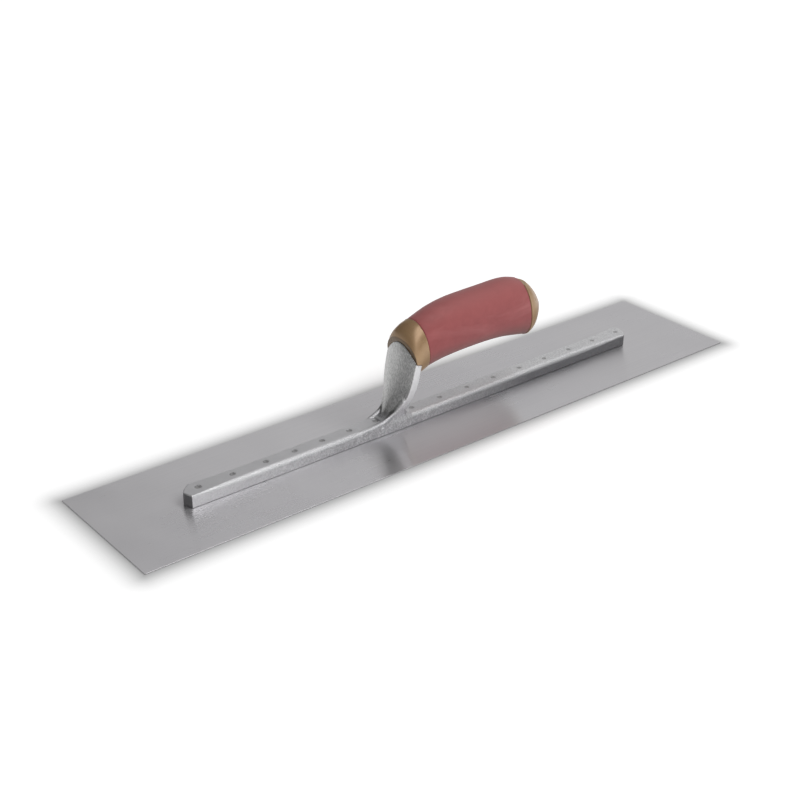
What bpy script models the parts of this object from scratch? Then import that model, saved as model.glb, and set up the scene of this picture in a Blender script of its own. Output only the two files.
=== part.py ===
"""Long steel finishing trowel for concrete and render.

A thin spring-steel blade hangs under a one-piece aluminium mounting, whose
bar, curved shank and tang are a single casting.  Sixteen countersunk rivets
pin the blade to the bar.  A hard moulded handle core slides over the tang, a
soft grip sleeve is moulded round the core between its collar and its end cap,
and one long bolt from the tail, over a washer, draws the handle on to the
shank.

Frame: origin at the bottom centre of the blade, +X along the blade towards
the tail of the handle, +Z up.  Units are metres.
"""
import math

import bmesh
import bpy
from mathutils import Vector

MM = 0.001

# ---------------------------------------------------------------- dimensions
GAP = 0.0002                    # running clearance between touching pieces

BLADE_LENGTH = 0.508            # 20 in
BLADE_WIDTH = 0.1016            # 4 in
BLADE_THICKNESS = 0.0008

BAR_HALF_WIDTH = 0.0075
BAR_HEIGHT = 0.0089
BAR_CREST_RADIUS = 0.0036       # rounding of the long top edges
BAR_END_RADIUS = 0.0006         # the same edges where the ends are ground flat
BAR_TAPER = 0.055               # length over which the rounding fades out
BAR_LEFT = -0.1976
BAR_RIGHT = 0.1957

INCH = 0.0254
RIVET_FIRST_X = -0.1865
RIVET_PITCHES = [1, 1] + [7 / 8] * 4 + [5 / 4] + [1] * 8
RIVET_SHANK_RADIUS = 0.0020
RIVET_HEAD_RADIUS = 0.0032
RIVET_SEGMENTS = 16

# The handle: centre line height and section of each station, in millimetres
# above the blade's upper face.  Tilt leans the top of a section forward.
#                  x      z     tilt  half-height half-width
COLLAR_STATIONS = [(-28.4, 47.4, 12.0, 10.4, 15.6),
                   (-24.8, 49.6, 12.0, 13.1, 15.8),
                   (-21.4, 52.0, 12.0, 15.7, 15.5),
                   (-17.0, 54.6, 11.5, 17.7, 14.8),
                   (-11.8, 56.8, 11.0, 18.7, 14.1)]
GRIP_STATIONS = [(-11.8, 56.8, 11.0, 18.7, 14.1),
                 (2.5, 60.6, 8.0, 20.1, 14.5),
                 (17.0, 62.5, 4.5, 20.8, 14.9),
                 (33.0, 63.1, 1.5, 20.9, 15.0),
                 (48.0, 63.2, 0.5, 21.1, 15.0),
                 (61.5, 62.9, 2.0, 21.8, 15.0),
                 (72.0, 61.6, 5.0, 22.5, 15.0),
                 (82.2, 59.3, 8.4, 22.6, 14.6)]
CAP_STATIONS = [(82.2, 59.3, 8.4, 22.6, 14.6),
                (86.2, 58.9, 8.0, 20.8, 13.6),
                (89.8, 58.3, 7.0, 17.8, 11.9),
                (92.8, 57.8, 5.5, 14.2, 9.9),
                (95.2, 57.5, 4.5, 10.6, 7.9),
                (97.0, 57.2, 3.5, 7.2, 6.0),
                (98.2, 57.0, 3.4, 4.4, 4.4)]
# Side view of the keyed seat between shank and collar, in millimetres: the
# front face, a shelf under the collar, and the face below the shelf.
SEAT_PROFILE = [(-29.4, 78.0), (-26.3, 61.6), (-24.1, 49.5), (-19.6, 48.1),
                (-17.4, 36.0), (-16.5, 28.0)]
TANG_FOOT = (-22.0, 51.6)       # where the bolt's line crosses the seat
GRIP_THICKNESS = 0.0026
GRIP_STEP = 0.0003              # the sleeve stands this much below the collar
HANDLE_SEGMENTS = 28

# The shank: half-width and fore-and-aft reach of each level, in millimetres.
# front and back are on the centre plane, edge_* where the two side faces are.
#              z    front  edge_f  edge_b  back  half-width
SHANK_LEVELS = [(3.0, -40.5, -38.5, -24.5, -22.5, 4.6),
                (8.6, -44.0, -43.5, -20.0, -18.6, 5.4),
                (10.0, -42.2, -39.8, -23.2, -21.3, 5.9),
                (13.2, -39.8, -35.2, -25.6, -22.8, 7.2),
                (18.0, -37.9, -32.2, -24.9, -21.6, 9.7),
                (25.2, -35.6, -29.7, -23.3, -19.4, 12.5),
                (31.0, -33.9, -28.4, -22.2, -17.6, 14.2),
                (36.0, -32.6, -27.3, -21.4, -15.6, 15.0),
                (43.0, -30.9, -25.9, -20.4, -12.0, 15.4),
                (49.8, -29.4, -24.4, -19.0, -10.0, 15.5),
                (54.0, -28.5, -24.0, -18.0, -10.0, 13.6),
                (58.0, -27.6, -24.2, -18.0, -10.0, 10.0),
                (60.6, -26.9, -24.8, -18.0, -10.0, 6.0),
                (62.0, -26.3, -25.2, -18.0, -12.0, 2.2)]
SHANK_SEGMENTS = 28

TANG_START_RADIUS = 0.0058
TANG_END_RADIUS = 0.0045
TANG_LENGTH = 0.046
BOLT_RADIUS = 0.0024
BOLT_HEAD_RADIUS = 0.0032
BOLT_HEAD_HEIGHT = 0.0013
BOLT_ENGAGEMENT = 0.020         # how far the bolt runs into the tang
WASHER_RADIUS = 0.0038
WASHER_THICKNESS = 0.0006

TOP = BLADE_THICKNESS           # upper face of the blade
BAR_BASE = TOP + GAP
BAR_TOP = TOP + BAR_HEIGHT


# ------------------------------------------------------------------- helpers
def clear_scene():
    for item in list(bpy.data.objects):
        bpy.data.objects.remove(item, do_unlink=True)
    for group in list(bpy.data.collections):
        bpy.data.collections.remove(group)


def make_material(name, colour, roughness, metallic):
    mat = bpy.data.materials.new(name)
    mat.use_nodes = True
    shader = mat.node_tree.nodes["Principled BSDF"]
    shader.inputs["Base Color"].default_value = (*colour, 1.0)
    shader.inputs["Roughness"].default_value = roughness
    shader.inputs["Metallic"].default_value = metallic
    mat.diffuse_color = (*colour, 1.0)
    return mat


def add_object(name, mesh, collection, mat=None):
    obj = bpy.data.objects.new(name, mesh)
    collection.objects.link(obj)
    if mat is not None:
        mesh.materials.append(mat)
    return obj


def mesh_from(bm, name, smooth=True, angle=35.0):
    bmesh.ops.remove_doubles(bm, verts=bm.verts, dist=1e-7)
    bmesh.ops.recalc_face_normals(bm, faces=bm.faces)
    mesh = bpy.data.meshes.new(name)
    bm.to_mesh(mesh)
    bm.free()
    if smooth:
        mesh.shade_smooth()
        mesh.set_sharp_from_angle(angle=math.radians(angle))
    return mesh


def add_loft(bm, rings, cap_start=True, cap_end=True):
    """Skin a list of closed rings, each with the same number of points."""
    loops = [[bm.verts.new(p) for p in ring] for ring in rings]
    count = len(loops[0])
    for a, b in zip(loops, loops[1:]):
        for i in range(count):
            j = (i + 1) % count
            bm.faces.new((a[i], a[j], b[j], b[i]))
    if cap_start:
        bm.faces.new(list(reversed(loops[0])))
    if cap_end:
        bm.faces.new(loops[-1])
    return loops


def smooth_table(rows, steps):
    """Pass a Catmull-Rom curve through rows of numbers, steps per interval."""
    out = []
    last = len(rows) - 1
    for i in range(last):
        p0 = rows[max(i - 1, 0)]
        p1, p2 = rows[i], rows[i + 1]
        p3 = rows[min(i + 2, last)]
        for k in range(steps):
            t = k / steps
            out.append(tuple(
                0.5 * (2 * b + (c - a) * t
                       + (2 * a - 5 * b + 4 * c - d) * t * t
                       + (3 * b - a - 3 * c + d) * t ** 3)
                for a, b, c, d in zip(p0, p1, p2, p3)))
    out.append(tuple(rows[-1]))
    return out


def handle_ring(station, inset=0.0, segments=HANDLE_SEGMENTS):
    """One egg-shaped section of the handle, leaning with its tilt."""
    x, z, tilt, half_h, half_w = station
    lean = math.radians(tilt)
    centre = Vector((x * MM, 0.0, z * MM + TOP))
    up = Vector((-math.sin(lean), 0.0, math.cos(lean)))
    side = Vector((0.0, 1.0, 0.0))
    half_h = half_h * MM - inset
    half_w = half_w * MM - inset
    ring = []
    for i in range(segments):
        angle = 2 * math.pi * i / segments
        c, s = math.cos(angle), math.sin(angle)
        power = 2 / 2.15
        u = math.copysign(abs(c) ** power, c)
        v = math.copysign(abs(s) ** power, s)
        ring.append(centre + up * (half_h * u) + side * (half_w * v))
    return ring


def bolt_frame():
    """Start of the tang on the shank's seat, and the bolt's direction."""
    seat, tail = TANG_FOOT, CAP_STATIONS[-1]
    start = Vector((seat[0] * MM, 0.0, seat[1] * MM + TOP))
    end = Vector((tail[0] * MM, 0.0, tail[1] * MM + TOP))
    direction = (end - start).normalized()
    return start, end, direction


def add_turned(bm, profile, origin, direction, segments):
    """Turn (distance, radius) points round an axis into a closed solid."""
    rotation = Vector((0, 0, 1)).rotation_difference(direction).to_matrix()
    rings = []
    for distance, radius in profile:
        ring = []
        for i in range(segments):
            angle = 2 * math.pi * i / segments
            local = Vector((radius * math.cos(angle),
                            radius * math.sin(angle), distance))
            ring.append(origin + rotation @ local)
        rings.append(ring)
    return add_loft(bm, rings)


def add_screwed(name, profile, steps, collection, mat, closed=False):
    """Turn a (distance, radius) outline round its own Z axis.

    The outline runs down the outer side, from the far end to the near one,
    and starts and ends on the axis unless it is a closed ring.
    """
    mesh = bpy.data.meshes.new(name)
    points = [(radius, 0.0, distance) for distance, radius in profile]
    edges = [(i, i + 1) for i in range(len(points) - 1)]
    if closed:
        edges.append((len(points) - 1, 0))
    mesh.from_pydata(points, edges, [])
    obj = add_object(name, mesh, collection, mat)
    screw = obj.modifiers.new("turn", 'SCREW')
    screw.axis = 'Z'
    screw.angle = 2 * math.pi
    screw.steps = steps
    screw.render_steps = steps
    screw.use_merge_vertices = True
    screw.merge_threshold = 0.00001
    screw.use_smooth_shade = True
    return obj


def add_cutter(name, bm, collection):
    mesh = mesh_from(bm, name, smooth=False)
    obj = add_object(name, mesh, collection)
    obj.hide_render = True
    obj.display_type = 'WIRE'
    return obj


def boolean(obj, other, operation):
    mod = obj.modifiers.new(operation.lower() + "_" + other.name, 'BOOLEAN')
    mod.operation = operation
    mod.solver = 'EXACT'
    mod.object = other
    return mod


def rivet_positions():
    positions = [RIVET_FIRST_X]
    for pitch in RIVET_PITCHES:
        positions.append(positions[-1] + pitch * INCH)
    return positions


# -------------------------------------------------------------------- pieces
def build_blade(parts, cutters, mat):
    bm = bmesh.new()
    bmesh.ops.create_cube(bm, size=1.0)
    bmesh.ops.scale(bm, verts=bm.verts,
                    vec=(BLADE_LENGTH, BLADE_WIDTH, BLADE_THICKNESS))
    bmesh.ops.translate(bm, verts=bm.verts, vec=(0, 0, BLADE_THICKNESS / 2))
    blade = add_object("blade", mesh_from(bm, "blade", smooth=False),
                       parts, mat)
    bm = bmesh.new()
    for x in rivet_positions():
        add_turned(bm, [(-0.001, RIVET_HEAD_RADIUS + GAP),
                        (0.00012, RIVET_HEAD_RADIUS + GAP),
                        (BLADE_THICKNESS, RIVET_SHANK_RADIUS + GAP),
                        (BLADE_THICKNESS + 0.001, RIVET_SHANK_RADIUS + GAP)],
                   Vector((x, 0, 0)), Vector((0, 0, 1)), RIVET_SEGMENTS)
    boolean(blade, add_cutter("cut_blade_holes", bm, cutters), 'DIFFERENCE')
    return blade


def bar_radius(x):
    """Rounding of the bar's long top edges at x."""
    reach = min(x - BAR_LEFT, BAR_RIGHT - x) / BAR_TAPER
    reach = min(max(reach, 0.0), 1.0)
    ease = math.sin(reach * math.pi / 2)
    return BAR_END_RADIUS + (BAR_CREST_RADIUS - BAR_END_RADIUS) * ease


def bar_section(x, arc_steps=4):
    radius = bar_radius(x)
    half = []
    for i in range(arc_steps + 1):
        angle = math.pi / 2 * i / arc_steps
        half.append((-BAR_HALF_WIDTH + radius * (1 - math.cos(angle)),
                     BAR_TOP - radius * (1 - math.sin(angle))))
    section = [(-BAR_HALF_WIDTH, BAR_BASE)] + half
    section += [(-y, z) for y, z in reversed(section)]
    return [Vector((x, y, z)) for y, z in section]


def bar_outline():
    """Plan of the bar: a slanted ground face and a rounded corner per end."""
    left, right, half = BAR_LEFT, BAR_RIGHT, BAR_HALF_WIDTH
    points = [(left + 0.0022, -half - 0.001), (left + 0.0022, -half),
              (left, -0.0006), (left + 0.0005, 0.0005),
              (left + 0.0032, 0.0034), (left + 0.0068, 0.0062),
              (left + 0.0100, half), (left + 0.0100, half + 0.001),
              (right - 0.0062, half + 0.001), (right - 0.0062, half)]
    for i in range(1, 6):
        angle = math.pi / 2 * i / 6
        points.append((right - 0.0062 * (1 - math.sin(angle)),
                       0.0012 + (half - 0.0012) * math.cos(angle)))
    points += [(right, 0.0012), (right - 0.0012, -0.0020),
               (right - 0.0053, -half), (right - 0.0053, -half - 0.001)]
    return points


def shank_ring(level, segments=SHANK_SEGMENTS):
    """A level of the shank: crowned front, narrow side faces, full back."""
    z, front, edge_f, edge_b, back, half = level
    ring = []
    steps = segments // 4
    for i in range(-steps, steps + 1):
        s = math.sin(math.pi / 2 * i / steps)
        ring.append((edge_f + (front - edge_f) * (1 - s * s), half * s))
    for i in range(steps, -steps - 1, -1):
        s = math.sin(math.pi / 2 * i / steps)
        ring.append((edge_b + (back - edge_b) * (1 - s * s) ** 1.3, half * s))
    return [Vector((x * MM, y * MM, z * MM + TOP)) for x, y in ring]


def seat_cutter(name, cutters, gap):
    """Everything behind the seat profile, moved back by a gap."""
    profile = [(x * MM + 1.2 * gap, z * MM + TOP + gap)
               for x, z in SEAT_PROFILE]
    profile += [(0.13, profile[-1][1]), (0.13, profile[0][1])]
    bm = bmesh.new()
    add_loft(bm, [[Vector((x, y, z)) for x, z in profile]
                  for y in (-0.03, 0.03)])
    return add_cutter(name, bm, cutters)


def build_mounting(parts, cutters, mat):
    # bar: rounded section lofted along X, trimmed to its plan outline
    stations = [BAR_LEFT - 0.002, BAR_LEFT]
    for k in range(1, 7):
        stations.append(BAR_LEFT + BAR_TAPER * k / 6)
    stations += [BAR_LEFT + 0.155, 0.0, 0.075]
    for k in range(6, -1, -1):
        stations.append(BAR_RIGHT - BAR_TAPER * k / 6)
    stations.append(BAR_RIGHT + 0.002)
    bm = bmesh.new()
    add_loft(bm, [bar_section(x) for x in sorted(set(stations))])
    mounting = add_object("mounting", mesh_from(bm, "mounting", angle=30),
                          parts, mat)

    bm = bmesh.new()
    low = [Vector((x, y, BAR_BASE - 0.002)) for x, y in bar_outline()]
    high = [Vector((x, y, BAR_TOP + 0.002)) for x, y in bar_outline()]
    add_loft(bm, [low, high])
    boolean(mounting, add_cutter("trim_bar_plan", bm, cutters), 'INTERSECT')

    # shank, cut off square where the handle seats on it
    bm = bmesh.new()
    levels = smooth_table(SHANK_LEVELS, 2)
    add_loft(bm, [shank_ring(level) for level in levels])
    shank = add_cutter("shank_blank", bm, cutters)
    boolean(shank, seat_cutter("cut_seat", cutters, 0.0), 'DIFFERENCE')
    boolean(mounting, shank, 'UNION')

    # tang, running back along the bolt's line, tapped for the bolt
    start, _, direction = bolt_frame()
    bm = bmesh.new()
    add_turned(bm, [(-0.005, TANG_START_RADIUS),
                    (TANG_LENGTH - 0.001, TANG_END_RADIUS),
                    (TANG_LENGTH, TANG_END_RADIUS - 0.0008)],
               start, direction, 20)
    boolean(mounting, add_cutter("tang_blank", bm, cutters), 'UNION')
    bm = bmesh.new()
    add_turned(bm, [(TANG_LENGTH - BOLT_ENGAGEMENT - 0.002,
                     BOLT_RADIUS + GAP),
                    (TANG_LENGTH + 0.004, BOLT_RADIUS + GAP)],
               start, direction, 16)
    boolean(mounting, add_cutter("cut_tapped_hole", bm, cutters),
            'DIFFERENCE')

    bm = bmesh.new()
    for x in rivet_positions():
        add_turned(bm, [(-0.001, RIVET_SHANK_RADIUS + GAP),
                        (BAR_TOP + 0.002, RIVET_SHANK_RADIUS + GAP)],
                   Vector((x, 0, 0)), Vector((0, 0, 1)), RIVET_SEGMENTS)
    boolean(mounting, add_cutter("cut_bar_holes", bm, cutters), 'DIFFERENCE')
    return mounting


def build_rivets(parts, mat):
    """Countersunk under the blade, peened flush with the bar's top."""
    profile = [(BAR_TOP - 0.00005, 0.0),
               (BAR_TOP - 0.00005, RIVET_SHANK_RADIUS - 0.0003),
               (BAR_TOP - 0.00025, RIVET_SHANK_RADIUS),
               (BLADE_THICKNESS, RIVET_SHANK_RADIUS),
               (0.00012, RIVET_HEAD_RADIUS),
               (0.0, RIVET_HEAD_RADIUS),
               (0.0, 0.0)]
    for index, x in enumerate(rivet_positions(), start=1):
        rivet = add_screwed("rivet_%02d" % index, profile, RIVET_SEGMENTS,
                            parts, mat)
        rivet.location = (x, 0, 0)


def shifted(station, distance):
    """Move a station along its own normal by a distance in metres."""
    x, z, tilt, half_h, half_w = station
    lean = math.radians(tilt)
    return (x + distance / MM * math.cos(lean),
            z + distance / MM * math.sin(lean), tilt, half_h, half_w)


def build_core(parts, cutters, mat):
    collar = smooth_table(COLLAR_STATIONS, 2)
    neck = smooth_table(GRIP_STATIONS, 1)
    cap = smooth_table(CAP_STATIONS, 1)
    rings = [handle_ring(s) for s in collar]
    rings += [handle_ring(s, inset=GRIP_THICKNESS + GAP) for s in neck]
    rings += [handle_ring(s) for s in cap]
    bm = bmesh.new()
    add_loft(bm, rings)
    core = add_object("handle_core", mesh_from(bm, "handle_core"),
                      parts, mat)
    boolean(core, seat_cutter("keep_behind_seat", cutters, GAP), 'INTERSECT')
    start, end, direction = bolt_frame()
    bm = bmesh.new()
    add_turned(bm, [(-0.009, TANG_START_RADIUS + 0.0006),
                    (TANG_LENGTH + 0.001, TANG_END_RADIUS + 0.0005),
                    (TANG_LENGTH + 0.0014, BOLT_RADIUS + GAP),
                    ((end - start).length + 0.006, BOLT_RADIUS + GAP)],
               start, direction, 20)
    boolean(core, add_cutter("cut_handle_bore", bm, cutters), 'DIFFERENCE')
    return core


def build_grip(parts, mat):
    rows = smooth_table(GRIP_STATIONS, 2)
    rows[0] = shifted(rows[0], GAP)
    rows[-1] = shifted(rows[-1], -GAP)
    outer = [handle_ring(s, inset=GRIP_STEP) for s in rows]
    inner = [handle_ring(s, inset=GRIP_THICKNESS) for s in rows]
    bm = bmesh.new()
    skins = [add_loft(bm, rings, False, False) for rings in (outer, inner)]
    count = HANDLE_SEGMENTS
    for end in (0, -1):
        a, b = skins[0][end], skins[1][end]
        for i in range(count):
            j = (i + 1) % count
            bm.faces.new((a[i], a[j], b[j], b[i]))
    return add_object("handle_grip", mesh_from(bm, "handle_grip"),
                      parts, mat)


def build_fasteners(parts, bolt_mat, washer_mat):
    start, end, direction = bolt_frame()
    turn = Vector((0, 0, 1)).rotation_difference(direction)
    seat = (end - start).length + GAP
    hole = BOLT_RADIUS + GAP + 0.0001
    washer = add_screwed("tail_washer",
                         [(seat + WASHER_THICKNESS, hole),
                          (seat + WASHER_THICKNESS, WASHER_RADIUS),
                          (seat, WASHER_RADIUS),
                          (seat, hole)], 24, parts, washer_mat, closed=True)

    head = seat + WASHER_THICKNESS + GAP
    bolt = add_screwed("handle_bolt",
                       [(head + BOLT_HEAD_HEIGHT, 0.0),
                        (head + BOLT_HEAD_HEIGHT, BOLT_HEAD_RADIUS - 0.0019),
                        (head + BOLT_HEAD_HEIGHT * 0.85,
                         BOLT_HEAD_RADIUS - 0.0007),
                        (head + BOLT_HEAD_HEIGHT * 0.55, BOLT_HEAD_RADIUS),
                        (head, BOLT_HEAD_RADIUS),
                        (head, BOLT_RADIUS),
                        (TANG_LENGTH - BOLT_ENGAGEMENT + 0.0006, BOLT_RADIUS),
                        (TANG_LENGTH - BOLT_ENGAGEMENT, BOLT_RADIUS - 0.0005),
                        (TANG_LENGTH - BOLT_ENGAGEMENT, 0.0)],
                       20, parts, bolt_mat)
    for obj in (washer, bolt):
        obj.location = start
        obj.rotation_mode = 'QUATERNION'
        obj.rotation_quaternion = turn


def main():
    clear_scene()
    parts = bpy.data.collections.new("finishing_trowel")
    cutters = bpy.data.collections.new("cutters")
    for group in (parts, cutters):
        bpy.context.scene.collection.children.link(group)

    spring_steel = make_material("spring_steel", (0.42, 0.42, 0.43), 0.3, 1.0)
    cast_alloy = make_material("cast_alloy", (0.62, 0.63, 0.64), 0.38, 1.0)
    rivet_steel = make_material("rivet_steel", (0.24, 0.23, 0.23), 0.45, 1.0)
    tan_plastic = make_material("tan_plastic", (0.40, 0.27, 0.14), 0.35, 0.0)
    red_rubber = make_material("red_rubber", (0.36, 0.08, 0.08), 0.6, 0.0)
    zinc_steel = make_material("zinc_steel", (0.55, 0.55, 0.56), 0.3, 1.0)

    build_blade(parts, cutters, spring_steel)
    build_mounting(parts, cutters, cast_alloy)
    build_rivets(parts, rivet_steel)
    build_core(parts, cutters, tan_plastic)
    build_grip(parts, red_rubber)
    build_fasteners(parts, zinc_steel, zinc_steel)


main()
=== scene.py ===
"""Looks of the long steel finishing trowel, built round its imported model."""

import math

import bmesh
import bpy
import numpy as np
from mathutils import Matrix, Vector

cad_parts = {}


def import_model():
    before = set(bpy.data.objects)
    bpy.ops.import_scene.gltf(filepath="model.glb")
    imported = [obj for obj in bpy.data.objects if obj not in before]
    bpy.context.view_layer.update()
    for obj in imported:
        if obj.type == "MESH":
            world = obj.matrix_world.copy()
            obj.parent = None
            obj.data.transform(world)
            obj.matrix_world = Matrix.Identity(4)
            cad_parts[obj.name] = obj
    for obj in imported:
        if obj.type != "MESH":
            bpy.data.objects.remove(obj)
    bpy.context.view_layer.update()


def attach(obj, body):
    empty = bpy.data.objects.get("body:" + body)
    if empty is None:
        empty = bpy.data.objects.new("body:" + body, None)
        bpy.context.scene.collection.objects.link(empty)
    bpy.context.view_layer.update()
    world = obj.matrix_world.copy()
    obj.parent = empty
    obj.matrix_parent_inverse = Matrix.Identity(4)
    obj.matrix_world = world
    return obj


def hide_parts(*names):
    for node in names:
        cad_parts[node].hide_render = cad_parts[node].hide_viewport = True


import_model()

MM = 0.001
TOP = 0.8                     # blade's upper face, mm; tables are above it
GAP = 0.2

# ------------------------------------------------------------- driving sizes
BLADE_LENGTH, BLADE_WIDTH, BLADE_THICKNESS = 508.0, 101.6, 0.8
BAR_HALF, BAR_HEIGHT = 7.5, 8.9
CREST_RADIUS, END_RADIUS, BAR_TAPER = 3.6, 0.6, 55.0
BAR_LEFT, BAR_RIGHT = -197.6, 195.7
INCH = 25.4
RIVETS = [-186.5]
for pitch in [1, 1] + [7 / 8] * 4 + [5 / 4] + [1] * 8:
    RIVETS.append(RIVETS[-1] + pitch * INCH)
# peened ends: the first is the widest, those right of the shank the smallest
PIN_RADII = [2.0] + [1.8] * 6 + [1.6] * 9

COLLAR_STATIONS = [(-28.4, 46.8, 12.0, 9.2, 15.0),
                   (-24.8, 49.2, 12.0, 12.4, 15.5),
                   (-21.4, 52.5, 12.0, 16.4, 15.6),
                   (-17.0, 54.8, 11.5, 18.2, 15.0),
                   (-11.8, 56.8, 11.0, 18.7, 14.1)]
GRIP_STATIONS = [(-11.8, 56.8, 11.0, 18.7, 14.1),
                 (2.5, 60.6, 8.0, 20.1, 14.5),
                 (17.0, 62.5, 4.5, 20.8, 14.9),
                 (33.0, 63.1, 1.5, 20.9, 15.0),
                 (48.0, 63.2, 0.5, 21.1, 15.0),
                 (61.5, 62.9, 2.0, 21.8, 15.0),
                 (72.0, 61.6, 5.0, 22.5, 15.0),
                 (82.2, 59.3, 8.4, 22.6, 14.6)]
CAP_STATIONS = [(82.2, 59.3, 8.4, 22.6, 14.6),
                (86.2, 58.9, 8.0, 20.8, 13.6),
                (89.8, 58.3, 7.0, 17.8, 11.9),
                (92.8, 57.8, 5.5, 14.2, 9.9),
                (95.2, 57.5, 4.5, 10.6, 7.9),
                (97.0, 57.2, 3.5, 7.2, 6.0),
                (98.2, 57.0, 3.4, 4.4, 4.4)]
SEAT_PROFILE = [(-29.4, 78.0), (-26.3, 61.6), (-24.1, 49.5), (-19.6, 48.1),
                (-17.4, 36.0), (-16.5, 28.0)]
TANG_FOOT = (-22.0, 51.6)
GRIP_THICKNESS, GRIP_STEP = 2.6, 0.3
TANG_LENGTH = 46.0
#              z    front  edge_f  edge_b  back  half-width
SHANK_LEVELS = [(3.0, -40.5, -38.5, -24.5, -22.5, 4.6),
                (8.6, -43.4, -42.4, -22.0, -20.6, 6.2),
                (10.0, -42.0, -39.8, -23.6, -22.0, 6.4),
                (13.2, -39.8, -35.2, -25.2, -22.9, 7.2),
                (18.0, -37.9, -32.2, -24.9, -21.6, 9.7),
                (25.2, -35.6, -29.7, -23.3, -19.4, 12.5),
                (31.0, -33.9, -28.4, -22.2, -17.6, 14.2),
                (36.0, -32.6, -27.3, -21.4, -15.6, 15.0),
                (43.0, -30.9, -25.9, -20.4, -12.0, 15.4),
                (49.8, -29.4, -24.4, -19.0, -10.0, 15.5),
                (54.0, -28.5, -24.0, -18.0, -10.0, 14.2),
                (58.0, -27.6, -24.2, -18.0, -10.0, 11.6),
                (60.8, -26.9, -24.8, -18.0, -10.0, 8.0),
                (62.2, -26.3, -25.2, -18.0, -12.0, 4.4)]
# cast rails that run from the shank's sides into the bar's crests
RAIL = [(-62.0, 5.7, 7.2, 1.5), (-54.0, 5.8, 7.7, 1.55),
        (-47.5, 5.9, 8.5, 1.6), (-42.5, 6.0, 10.0, 1.55),
        (-38.5, 6.2, 12.2, 1.45), (-35.2, 6.9, 15.2, 1.35),
        (-32.8, 8.3, 19.2, 1.2), (-31.2, 9.9, 23.0, 1.0)]


# ------------------------------------------------------------------- helpers
def smooth_rows(rows, steps):
    """Catmull-Rom curve through rows of numbers, steps per interval."""
    out, last = [], len(rows) - 1
    for i in range(last):
        p0, p1 = rows[max(i - 1, 0)], rows[i]
        p2, p3 = rows[i + 1], rows[min(i + 2, last)]
        for k in range(steps):
            t = k / steps
            out.append(tuple(
                0.5 * (2 * b + (c - a) * t
                       + (2 * a - 5 * b + 4 * c - d) * t * t
                       + (3 * b - a - 3 * c + d) * t ** 3)
                for a, b, c, d in zip(p0, p1, p2, p3)))
    out.append(tuple(rows[-1]))
    return out


def piece(name, mesh, replaced, mat, sharp=38.0):
    obj = bpy.data.objects.new(name, mesh)
    bpy.context.scene.collection.objects.link(obj)
    if mat is not None:
        mesh.materials.clear()
        mesh.materials.append(mat)
    mesh.shade_smooth()
    if sharp is not None:
        mesh.set_sharp_from_angle(angle=math.radians(sharp))
    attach(obj, "root")
    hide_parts(*replaced)
    return obj


def mesh_from_bm(bm, name, weld=1e-7):
    bmesh.ops.remove_doubles(bm, verts=bm.verts, dist=weld)
    bmesh.ops.recalc_face_normals(bm, faces=bm.faces)
    mesh = bpy.data.meshes.new(name)
    bm.to_mesh(mesh)
    bm.free()
    return mesh


def loft(bm, rings, cap_start=True, cap_end=True, loop=False):
    loops = [[bm.verts.new(p) for p in ring] for ring in rings]
    count = len(loops[0])
    pairs = list(zip(loops, loops[1:]))
    if loop:
        pairs.append((loops[-1], loops[0]))
    for a, b in pairs:
        for i in range(count):
            j = (i + 1) % count
            bm.faces.new((a[i], a[j], b[j], b[i]))
    if cap_start and not loop:
        bm.faces.new(list(reversed(loops[0])))
    if cap_end and not loop:
        bm.faces.new(loops[-1])
    return loops


def turned_rings(profile, origin, direction, segments):
    rotation = Vector((0, 0, 1)).rotation_difference(direction).to_matrix()
    rings = []
    for distance, radius in profile:
        rings.append([(origin + rotation @ Vector(
            (radius * math.cos(2 * math.pi * i / segments),
             radius * math.sin(2 * math.pi * i / segments), distance))) * MM
            for i in range(segments)])
    return rings


def cut(mesh, cutter_mesh, operation, name):
    """Exact boolean of two meshes, returned as a new mesh."""
    a = bpy.data.objects.new("tmp_a", mesh)
    b = bpy.data.objects.new("tmp_b", cutter_mesh)
    for o in (a, b):
        bpy.context.scene.collection.objects.link(o)
    mod = a.modifiers.new("cut", 'BOOLEAN')
    mod.operation, mod.solver, mod.object = operation, 'EXACT', b
    bpy.context.view_layer.update()
    dg = bpy.context.evaluated_depsgraph_get()
    out = bpy.data.meshes.new_from_object(a.evaluated_get(dg))
    out.name = name
    bpy.data.objects.remove(a)
    bpy.data.objects.remove(b)
    return out


def lattice(ix, iy, iz, seed):
    h = (ix * 374761393 + iy * 668265263 + iz * 1442695041
         + seed * 974634777) & 0xFFFFFFFF
    h = ((h ^ (h >> 13)) * 1274126177) & 0xFFFFFFFF
    h = h ^ (h >> 16)
    return (h & 0xFFFF) / 32767.5 - 1.0


def noise(p, scale, seed=0):
    """Smooth value noise, -1..1, on points p in mm with cells of scale mm."""
    q = p / scale
    i = np.floor(q).astype(np.int64)
    f = q - i
    f = f * f * (3 - 2 * f)
    total = 0.0
    for dx in (0, 1):
        wx = f[:, 0] if dx else 1 - f[:, 0]
        for dy in (0, 1):
            wy = f[:, 1] if dy else 1 - f[:, 1]
            for dz in (0, 1):
                wz = f[:, 2] if dz else 1 - f[:, 2]
                total = total + wx * wy * wz * lattice(
                    i[:, 0] + dx, i[:, 1] + dy, i[:, 2] + dz, seed)
    return total


def step(a, b, x):
    t = np.clip((x - a) / (b - a), 0, 1)
    return t * t * (3 - 2 * t)


def smax(a, b, k):
    h = np.maximum(k - np.abs(a - b), 0) / k
    return np.maximum(a, b) + h * h * k / 4


def smin(a, b, k):
    return -smax(-a, -b, k)


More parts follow.
